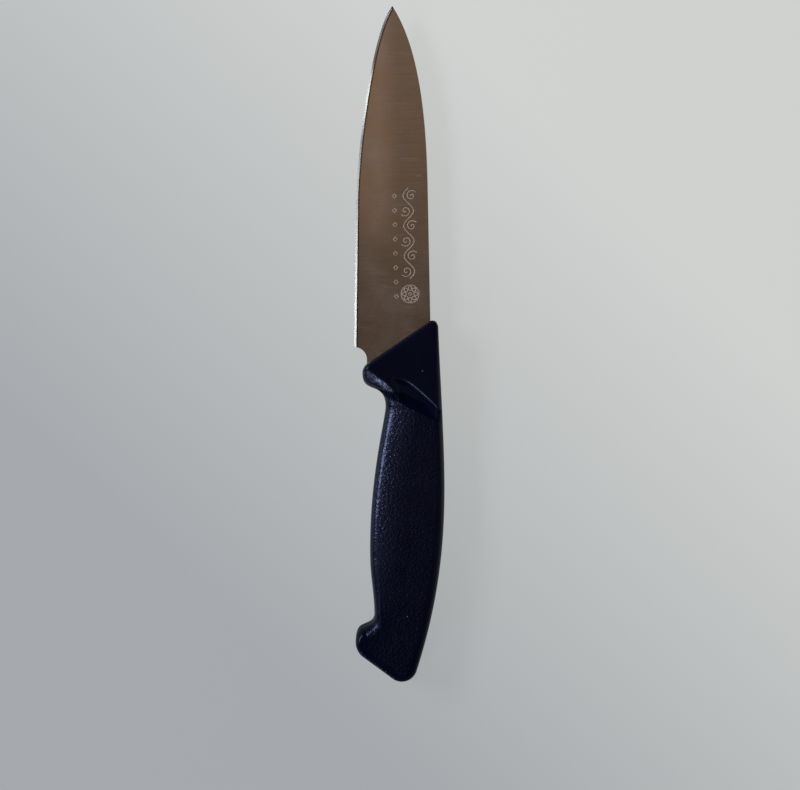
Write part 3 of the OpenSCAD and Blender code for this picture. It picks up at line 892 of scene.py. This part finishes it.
# Each stretch of the outline rounds over to the side: the rounding's width in plan and its depth, the slope
# where it meets the side, and the width over which the side levels out
roundings = {
    "front": (1.7, 3.5, 0, 1),
    "guard": (1.8, 3.6, 0, 1),
    "underGuard": (2, 3.6, 3, 1),
    "neck": (5, 4, 15, 10),
    "belly": (3.4, 3.6, 11, 10),
    "hollow": (2.4, 3.8, 0, 1),
    "hookTop": (6, 6.4, 3, 1),
    "hookSide": (1.6, 3, 0, 1),
    "butt": (1, 1.2, 0, 1),
    "buttCorner": (1.8, 2.2, 4, 3),
    "gripBack": (2.6, 3.6, 33, 0.6),
    "frontBack": (1.2, 1.6, 0, 1),
}
frontAngle = blade["frontAngle"]
guardX, guardY = handle["guard"]
neckX, neckY = handle["neck"]
bellyX, bellyY = handle["belly"]
hollowY = handle["length"] - handle["hollowUp"]
guardRadius = (guardY - guardX * tangent(frontAngle)) / (
    cosine(frontAngle) - (1 - sine(frontAngle)) * tangent(frontAngle))
guardCentre = Vector((guardRadius - guardX, -guardY))
frontX = handle["backStep"] - handle["frontRadius"]
frontCentre = Vector((frontX, frontX * tangent(frontAngle) - handle["frontRadius"] / cosine(frontAngle)))
hookCentre = Vector((handle["hookRadius"] - handle["hookX"], handle["hookUp"] - handle["length"]))
buttY = handle["buttRadius"] - handle["length"]
buttCentre = Vector((
    hookCentre.x + (handle["buttRadius"] - handle["hookRadius"]
                    - cosine(handle["buttAngle"]) * (buttY - hookCentre.y)) / sine(handle["buttAngle"]),
    buttY))
frontNormal = 90 + frontAngle
buttNormal = 270 - handle["buttAngle"]
underGuard = span((-guardX, -guardY), (-neckX, -neckY), handle["guardPulls"])
neckToBelly = span((-neckX, -neckY), (-bellyX, -bellyY), handle["neckPulls"])
bellyToHollow = span((-bellyX, -bellyY), (-handle["hollowX"], -hollowY), handle["hollowPulls"])
hollowToHook = span((-handle["hollowX"], -hollowY), (-handle["hookX"], hookCentre.y), handle["hookPulls"])
backStart = arcPoint(frontCentre, handle["frontRadius"], handle["backLean"])
backEnd = arcPoint(buttCentre, handle["buttRadius"], -handle["buttLean"])
startPull, endPull = (pull * (backStart.y - backEnd.y) for pull in handle["backPulls"])
backCurve = [
    backStart,
    backStart + startPull * Vector((sine(handle["backLean"]), -cosine(handle["backLean"]))),
    backEnd + endPull * Vector((sine(handle["buttLean"]), cosine(handle["buttLean"]))),
    backEnd,
]


def backAt(y):
    return bezier(backCurve, shareAt(backCurve, -y))


def rounded(points, start, end):  # each point with its rounding, from one kind to another
    last = len(points) - 1
    pairs = list(zip(roundings[start], roundings[end]))
    return [(*p, *(mix(a, b, i / last) for a, b in pairs)) for i, p in enumerate(points)]


def curvePoints(points, first, last, count):  # between two shares of a curve
    return [bezier(points, mix(first, last, i / count)) for i in range(count + 1)]


def arcPoints(centre, radius, first, last, count):
    return [arcPoint(centre, radius, mix(first, last, i / count)) for i in range(count + 1)]


def handleOutline():
    front = arcPoints(frontCentre, handle["frontRadius"], handle["backLean"], frontNormal, 24)
    guard = arcPoints(guardCentre, guardRadius, frontNormal, 180, 60)
    straight = [mix(front[-1], guard[0], i / 160) for i in range(161)]
    hook = arcPoints(hookCentre, handle["hookRadius"], 180, buttNormal, 60)
    butt = arcPoints(buttCentre, handle["buttRadius"], buttNormal, 360 - handle["buttLean"], 70)
    endFace = [mix(hook[-1], butt[0], i / 110) for i in range(111)]
    fold, hookTop = handle["foldShare"], handle["hookTopShare"]
    gripFrom, gripTo = handle["gripBackShares"]
    return (
        rounded(guard, "front", "guard")
        + rounded(curvePoints(underGuard, 0, fold, 75), "guard", "underGuard")
        + rounded(curvePoints(underGuard, fold, 1, 20), "underGuard", "neck")
        + rounded(curvePoints(neckToBelly, 0, 1, 280), "neck", "belly")
        + rounded(curvePoints(bellyToHollow, 0, 1, 110), "belly", "hollow")
        + rounded(curvePoints(hollowToHook, 0, hookTop, 54), "hollow", "hookTop")
        + rounded(curvePoints(hollowToHook, hookTop, 1, 36), "hookTop", "hookSide")
        + rounded(hook, "hookSide", "butt")
        + rounded(endFace, "butt", "butt")
        + rounded(butt, "butt", "buttCorner")
        + rounded(curvePoints(backCurve, 1, gripFrom, 300), "buttCorner", "gripBack")
        + rounded(curvePoints(backCurve, gripFrom, gripTo, 90), "gripBack", "gripBack")
        + rounded(curvePoints(backCurve, gripTo, 0, 140), "gripBack", "frontBack")
        + rounded(front, "frontBack", "front")
        + rounded(straight, "front", "front")
    )


def sampleTree(samples):
    found = KDTree(len(samples))
    for index, sample in enumerate(samples):
        found.insert((sample[0], sample[1], 0), index)
    found.balance()
    return found


def closest(samples, tree, p, closed=True):  # the distance to the line, then the line's other values there
    found = tree.find((p.x, p.y, 0))[1]
    best = None
    for i in (found - 1, found):
        if not closed and not 0 <= i < len(samples) - 1:
            continue
        a, b = samples[i], samples[(i + 1) % len(samples)]
        alongX, alongY = b[0] - a[0], b[1] - a[1]
        square = alongX * alongX + alongY * alongY
        t = 0
        if square > 0:
            t = min(1, max(0, ((p.x - a[0]) * alongX + (p.y - a[1]) * alongY) / square))
        distance = math.hypot(p.x - a[0] - t * alongX, p.y - a[1] - t * alongY)
        if best is None or distance < best[0]:
            best = (distance, *(mix(a[k], b[k], t) for k in range(2, len(a))))
    return best


outline = handleOutline()
outlineTree = sampleTree(outline)


def drop(rounding, distance):  # how far the surface lies below the side's full height
    width, depth, slope, levelWidth = rounding
    end = 90 if slope == 0 else math.degrees(math.atan(depth / width / tangent(slope)))
    plan = width * (1 - cosine(end))
    level = tangent(slope) * levelWidth / 2
    if distance < plan:
        return level + depth * (sine(end) - math.sin(math.acos(1 - distance / width)))
    left = 1 - min(1, (distance - plan) / levelWidth)
    return level * left * left


def depthAngle(depth, radius):
    return math.degrees(math.acos(1 - min(1, depth / radius)))


def rung(belly, back, half, bow=0, power=handle["creasePowers"][0], side=0, below=0):
    return {"belly": belly, "back": back, "half": half, "bow": bow, "power": power,
            "side": side, "below": below}


def endRungs(steps, kind, half, normal, turn, belly, back):  # where the side rounds over to an end
    count = max(steps)
    rungs = []
    for i in steps:
        depth = roundings[kind][0] * (1 - cosine(90 * i / count))
        rungs.append(rung(*(
            arcPoint(centre, radius, normal + way * depthAngle(depth, radius))
            for (centre, radius), way in ((belly, turn), (back, -turn))), half))
    return rungs


def frontRungs():
    return endRungs(range(11), "front", handle["bolsterHalf"], frontNormal, 1,
                    (guardCentre, guardRadius), (frontCentre, handle["frontRadius"]))


def buttRungs():
    return endRungs(range(8, -1, -1), "butt", handle["buttHalf"], buttNormal, -1,
                    (hookCentre, handle["hookRadius"]), (buttCentre, handle["buttRadius"]))[1:]


def bolsterRungs():  # they close up towards the crease
    start = frontNormal + depthAngle(roundings["front"][0], guardRadius)
    shares = [i / 21 for i in range(1, 21)]
    shares += [0.962, 0.972, 0.98, 0.985, 0.989, 0.992, 0.9945, 0.9965, 0.998, 1]
    rungs = []
    for s in shares:
        bent = max(0, (s - handle["creaseStart"]) / (1 - handle["creaseStart"]))
        rungs.append(rung(
            arcPoint(guardCentre, guardRadius, mix(start, 180, s)),
            backAt(mix(-backStart.y, handle["creaseBackY"], bent)),
            handle["bolsterHalf"], handle["creaseBow"] * bent, side=-1))
    return rungs


def guardRung(s):
    foot = handle["footShare"]
    onStep, below = min(1, s / foot), max(0, (s - foot) / (1 - foot))
    backY = mix(handle["creaseBackY"] + handle["stepWidth"] * onStep, handle["foldBackY"], below)
    return rung(
        bezier(underGuard, handle["foldShare"] * s), backAt(backY), handle["bolsterHalf"],
        handle["creaseBow"] * (1 - s), mix(*handle["creasePowers"], onStep), 1, below)


def guardRungs():
    foot = handle["footShare"]
    shares = [0.006, 0.013, 0.02, 0.028, 0.037, 0.046, 0.056]
    shares += [mix(0.056, foot - 0.012, i / 12) for i in range(1, 13)]
    shares += [foot - 0.006, foot - 0.002, foot, foot + 0.004]
    shares += [mix(foot + 0.004, 1, i / 34) for i in range(1, 35)]
    return [guardRung(s) for s in shares]


foldPoint = bezier(underGuard, handle["foldShare"])
hollowBackY = hollowY + handle["hollowBackOff"]


def bellyAt(y):
    for curve, end in ((underGuard, neckY), (neckToBelly, bellyY), (bellyToHollow, hollowY)):
        if y <= end:
            return bezier(curve, shareAt(curve, -y))
    return bellyToHollow[3]


def gripHalf(y):
    if y < handle["palmY"]:
        return mix(handle["neckHalf"], handle["palmHalf"], rise(y, handle["foldBackY"], handle["palmY"]))
    return mix(handle["palmHalf"], handle["buttHalf"], rise(y, handle["palmY"], hollowY))


def gripRungs(count=130):
    rungs = []
    for i in range(1, count + 1):
        t = i / count
        y = mix(-foldPoint.y, hollowY, t)
        foldLag = mix(handle["foldBackY"] + foldPoint.y, 0, min(1, handle["foldFade"] * t))
        lag = foldLag + (hollowBackY - hollowY) * t
        half = handle["buttHalf"] if i == count else gripHalf(y + lag / 2)
        rungs.append(rung(bellyAt(y), backAt(y + lag), half))
    return rungs


def hookRungs(count=84, hookShare=9 / 14, backShare=8 / 14):
    half = handle["buttHalf"]
    hookEnd = buttNormal - depthAngle(roundings["butt"][0], handle["hookRadius"])
    buttStart = buttNormal + depthAngle(roundings["butt"][0], handle["buttRadius"])
    rungs = []
    for i in range(1, count + 1):
        t = i / count
        if t <= hookShare:
            belly = bezier(hollowToHook, t / hookShare)
        else:
            belly = arcPoint(hookCentre, handle["hookRadius"],
                             mix(180, hookEnd, (t - hookShare) / (1 - hookShare)))
        if t <= backShare:
            back = backAt(mix(hollowBackY, -backEnd.y, t / backShare))
        else:
            back = arcPoint(buttCentre, handle["buttRadius"],
                            mix(360 - handle["buttLean"], buttStart, (t - backShare) / (1 - backShare)))
        rungs.append(rung(belly, back, half))
    return rungs


def tent(t, power):  # a rung rises to its bow along two legs
    peak, soft = handle["creasePeak"], handle["creaseSoft"]
    left = (t / peak) ** handle["creaseRise"]
    right = 1 - max(0, (t - peak) / (1 - peak)) ** power + handle["creaseSlope"] * max(0, peak - t)
    return min(left, right) - max(0, soft - abs(left - right)) ** 2 / (4 * soft)


def rungPoint(r, t):
    along = r["back"] - r["belly"]
    side = Vector((-along.y, along.x)).normalized()
    return r["belly"] + along * t + side * (r["bow"] * tent(t, r["power"]))


creaseRung = bolsterRungs()[-1]
creaseLine = [rungPoint(creaseRung, i / 240) for i in range(241)]
creaseTree = sampleTree(creaseLine)
footRung = guardRung(handle["footShare"])


def softStart(distance, edge):  # nothing at first, then the distance itself
    if distance < -edge:
        return 0
    return distance if distance > edge else (distance + edge) ** 2 / (4 * edge)


def facetPlace(p):  # how far past the start of the guard's slanting underside, and how far along it
    turn = handle["facetTurn"]
    x, y = p.x - handle["facetStart"][0], p.y - handle["facetStart"][1]
    return x * sine(turn) - y * cosine(turn), x * cosine(turn) + y * sine(turn)


def stepFall(t, distance):  # the step's full height here, and how far its slope would have fallen
    slope = tangent(handle["stepAngle"])
    width = closest(creaseLine, creaseTree, rungPoint(footRung, t), False)[0]
    height = min(handle["stepHeight"], slope * width) * rise(t / handle["creasePeak"], handle["stepStart"], 1)
    return height, slope * softStart(distance, handle["stepEdge"])


def stepDepth(t, distance):  # how far the step below the crease has fallen
    height, fall = stepFall(t, distance)
    if min(height, fall) <= 0:
        return 0
    soft = handle["stepFoot"] * height
    return max(0, min(fall, height) - max(0, soft - abs(fall - height)) ** 2 / (4 * soft))


def stepShade(t, distance):  # painted shade on the step's face, down to the corner at its foot
    height, fall = stepFall(t, distance)
    beyond = max(0, fall - height) / handle["paintedShadeReach"]
    return math.exp(-beyond * beyond) * rise(fall, *handle["paintedShadeRise"]) * ease(height)


def foldShade(below, t):  # painted shade in the fold under the guard, too
    start = mix(*handle["foldShadeStart"], t)
    front = rise(below, start, start + handle["foldShadeRise"])
    return front * rise(below, *handle["foldShadeEnd"]) * rise(t, *handle["foldShadeBack"])


# painted shade over the hollow before the hook, on its belly side
def hookShade(y, t):
    return handle["hookShade"] * rise(-y, *handle["hookShadeY"]) * rise(t, *handle["hookShadeShares"])


def guardShading(p):  # a painted highlight on the upper part of the guard's slanting underside, and painted shade further down it
    beyond, along = facetPlace(p)
    across = rise(beyond, *handle["highlightAcross"]) * rise(beyond, *handle["highlightFade"])
    paintedSheen = handle["guardHighlight"] * across * rise(along, *handle["highlightAlong"])
    left = handle["underShade"] * rise(beyond, *handle["underShadeAcross"])
    return (left - paintedSheen) * rise(along, *handle["highlightEnd"])


def rungHalf(r, t, p):
    if r["side"] == 0:
        return r["half"]
    fallen = stepDepth(t, r["side"] * closest(creaseLine, creaseTree, p, False)[0])
    beyond, along = facetPlace(p)
    slope = mix(handle["facetSlope"], handle["facetEndSlope"], rise(along, *handle["facetFade"]))
    fallen += tangent(slope) * softStart(beyond, handle["facetEdge"])
    return mix(r["half"] - fallen, handle["neckHalf"], r["below"] ** mix(*handle["foldPowers"], t))


def rungShares(r, corner=13, left=26, right=30, leastSlant=0.35, widest=0.3):
    length = (r["back"] - r["belly"]).length

    def reach(end, other):
        found = outlineTree.find((end.x, end.y, 0))[1]
        a, b = outline[found - 2], outline[(found + 2) % len(outline)]
        stretch = Vector((b[0] - a[0], b[1] - a[1])).normalized()
        towards = (other - end).normalized()
        slant = max(leastSlant, abs(stretch.x * towards.y - stretch.y * towards.x))
        return min(widest, outline[found][2] / slant / length), handle["draft"] / slant / length

    a, startA = reach(r["belly"], rungPoint(r, 0.1))
    b, startB = reach(r["back"], rungPoint(r, 0.9))
    peak = max(handle["creasePeak"], a + 0.02)
    shares = [max(startA, a * (1 - cosine(90 * j / corner))) for j in range(corner + 1)]
    shares += [mix(a, peak, j / left) for j in range(1, left)]
    shares += [mix(peak, 1 - b, j / right) for j in range(right)]
    shares += [1 - max(startB, b * (1 - cosine(90 * j / corner))) for j in range(corner, -1, -1)]
    return shares


def surfaceAt(r, t, isFront):  # a point of the upper side, its grain and its painted shading
    p = rungPoint(r, t)
    distance, *rounding = closest(outline, outlineTree, p)
    place = (p.x, p.y, rungHalf(r, t, p) - drop(rounding, distance))
    if isFront:
        # the front end gets an even painted shade
        return place, 0, handle["frontShade"]
    grain = mix(handle["rimGrain"], 1, rise(distance, *handle["rimGrainReach"]))
    paintedShading = hookShade(r["belly"].y, t)
    if r["side"]:
        grain = max(rise(facetPlace(p)[0], *handle["facetGrain"]), r["below"] ** handle["foldGrainPower"])
    if r["side"] == 1:
        # painted shade on the step's face and in the fold, with the guard's painted highlight and shade
        creaseShade = stepShade(t, closest(creaseLine, creaseTree, p, False)[0])
        paintedShading = max(creaseShade, foldShade(r["below"], t)) + guardShading(p)
    return place, grain, paintedShading


def bothSides(values):  # with a value for the ring's first and last point
    return [values[0], *values, values[-1], *reversed(values)]


def makeHandle():
    front = frontRungs()
    rungs = front + bolsterRungs() + guardRungs() + gripRungs() + hookRungs() + buttRungs()
    points, grain, paintedShading, faces = [], [], [], []
    for row, r in enumerate(rungs):
        upper, grained, shaded = zip(*(surfaceAt(r, t, row < len(front)) for t in rungShares(r)))
        lower = [(x, y, -z) for x, y, z in reversed(upper)]
        ring = [(*r["belly"], 0), *upper, (*r["back"], 0), *lower]
        points += [corner + Vector(p) * mm for p in ring]
        grain += bothSides(grained)
        paintedShading += bothSides(shaded)
    count = len(ring)
    for row in range(len(rungs) - 1):
        for j in range(count):
            a, b = row * count + j, row * count + (j + 1) % count
            faces.append((a, b, b + count, a + count))
    for first, turned in ((0, False), ((len(rungs) - 1) * count, True)):
        for j in range(count // 2):
            face = [first + j, first + (count - j) % count, first + count - 1 - j, first + j + 1]
            face = list(dict.fromkeys(face))
            if len(face) > 2:
                faces.append(tuple(reversed(face)) if turned else tuple(face))
    piece = meshPiece("handleMoulding", points, faces, [materials["plastic"]])
    # the grain, and the painted shading that sets the specular level
    for label, values in (("grain", grain), ("paintedShading", paintedShading)):
        piece.data.attributes.new(label, "FLOAT", "POINT").data.foreach_set("value", values)
    piece.data.shade_smooth()
    return piece


handlePiece = makeHandle()
settle(handlePiece)
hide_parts("handle")
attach(handlePiece, "root")

# Floor, light and camera
studio = {
    "floorHalf": 30,
    "floorColour": (0.57, 0.56, 0.52),
    "floorRoughness": 0.8,
    "shadedTone": (0.38, 0.40, 0.42),
    "litTone": (0.68, 0.70, 0.68),
    "toneReach": (-0.17, 0.14),
    "plainShare": 0.85,
    "plainInSteel": 0.35,
    "backdrop": (0.50, 0.52, 0.53),
    "darkTowards": (0.12, -0.2, 0.97),
    "darkColour": (0.010, 0.008, 0.006),
    "warmColour": (0.26, 0.175, 0.113),
    "warmReach": (0.985, 0.9),
    "dimColour": (0.09, 0.09, 0.095),
    "dimReach": (0.92, 0.6),
    "sideColour": (0.36, 0.37, 0.39),
    "sideReach": (0.8, 0.93),
    "cameraDistance": 0.62,
    "viewWidth": 0.3017,
    "viewCentre": (0.00119, -0.01979, 0.008),
    "roll": 1.14,
}


def makeFloor():  # the camera sees part of its pale tone unlit, so the shadow on it stays light
    half = studio["floorHalf"]
    material, shader = newMaterial(
        "paleFloor", Base_Color=studio["floorColour"], Roughness=studio["floorRoughness"])
    slanted = placeAlong("X") + placeAlong("Y")
    # painted light: the floor's unlit tone darkens towards -X and -Y and lightens towards +X and +Y
    tone = blendColours(remap(slanted, *studio["toneReach"]), studio["shadedTone"], studio["litTone"])
    rays = addNode("ShaderNodeLightPath").outputs
    mirrored = most(Flow(rays["Is Glossy Ray"]), Flow(rays["Is Transmission Ray"])) * studio["plainInSteel"]
    share = most(Flow(rays["Is Camera Ray"]) * studio["plainShare"], mirrored)
    plain = flow("ShaderNodeEmission", tone, 1.0)
    both = flow("ShaderNodeMixShader", share, Flow(shader.outputs[0]), plain)
    setInputs(material.node_tree.nodes["Material Output"], Surface=both)
    corners = [(-half, -half, 0), (half, -half, 0), (half, half, 0), (-half, half, 0)]
    meshPiece("floor", corners, [(0, 1, 2, 3)], [material])


def makeWorld():  # a dark, warm ceiling over pale sides
    world = scene.world = bpy.data.worlds.new("softStudio")
    world.use_nodes = True
    building["tree"] = world.node_tree
    direction = flow("ShaderNodeTexCoord", output="Generated")
    towards = Vector(studio["darkTowards"]).normalized()
    near = flow("ShaderNodeVectorMath", direction, towards, operation="DOT_PRODUCT", output="Value")
    room = blendColours(remap(near, *studio["warmReach"]), studio["darkColour"], studio["warmColour"])
    bright = smoothRange(flow("ShaderNodeSeparateXYZ", direction), *studio["sideReach"])
    around = blendColours(bright, studio["dimColour"], studio["sideColour"])
    light = blendColours(smoothRange(near, *studio["dimReach"]), room, around)
    seen = flow("ShaderNodeLightPath", output="Is Camera Ray")
    setInputs(world.node_tree.nodes["Background"], Color=blendColours(seen, light, studio["backdrop"]))


# Soft boxes on the edge's side: the main one, one that the crease reflects, a low one for the rim and
# a dim one for the palm's flank
softBoxes = {
    "mainBox": {"towards": (-0.766, 0, 0.643), "distance": 1.6, "shift": 0.6, "size": (0.42, 0.9),
                "radiance": 18, "colour": (0.9, 0.96, 1.14)},
    "creaseBox": {"towards": (-0.766, 0, 0.643), "distance": 1.6, "shift": -1.4, "size": (0.42, 0.76),
                  "radiance": 11.5, "colour": (0.9, 0.96, 1.14)},
    "lowBox": {"towards": (-1, 0, 0.06), "distance": 1.5, "shift": 0.34, "size": (0.13, 0.8),
               "radiance": 4, "colour": (0.72, 0.85, 1.3)},
    "flankBox": {"towards": (-0.45, 0, 0.89), "distance": 1.6, "shift": -0.25, "size": (0.5, 0.5),
                 "radiance": 0.7, "colour": (0.72, 0.85, 1.3)},
}


def makeSoftBox(name, box):
    light = bpy.data.lights.new(name, "AREA")
    light.shape = "RECTANGLE"
    light.size, light.size_y = box["size"]
    light.energy = box["radiance"] * light.size * light.size_y * math.pi
    light.color = box["colour"]
    lamp = bpy.data.objects.new(name, light)
    scene.collection.objects.link(lamp)
    towards = Vector(box["towards"]).normalized()
    lamp.location = Vector(studio["viewCentre"]) + towards * box["distance"] + Vector((0, box["shift"], 0))
    lamp.rotation_euler = towards.to_track_quat("Z", "X").to_euler()


def makeCamera():
    data = bpy.data.cameras.new("camera")
    data.lens = data.sensor_width * studio["cameraDistance"] / studio["viewWidth"]
    camera = bpy.data.objects.new("camera", data)
    scene.collection.objects.link(camera)
    camera.location = Vector(studio["viewCentre"]) + Vector((0, 0, studio["cameraDistance"]))
    camera.rotation_euler = (0, 0, -math.radians(studio["roll"]))
    scene.camera = camera


makeFloor()
makeWorld()
for boxName, box in softBoxes.items():
    makeSoftBox(boxName, box)
makeCamera()
scene.view_settings.view_transform = "Standard"
print("studio ready")
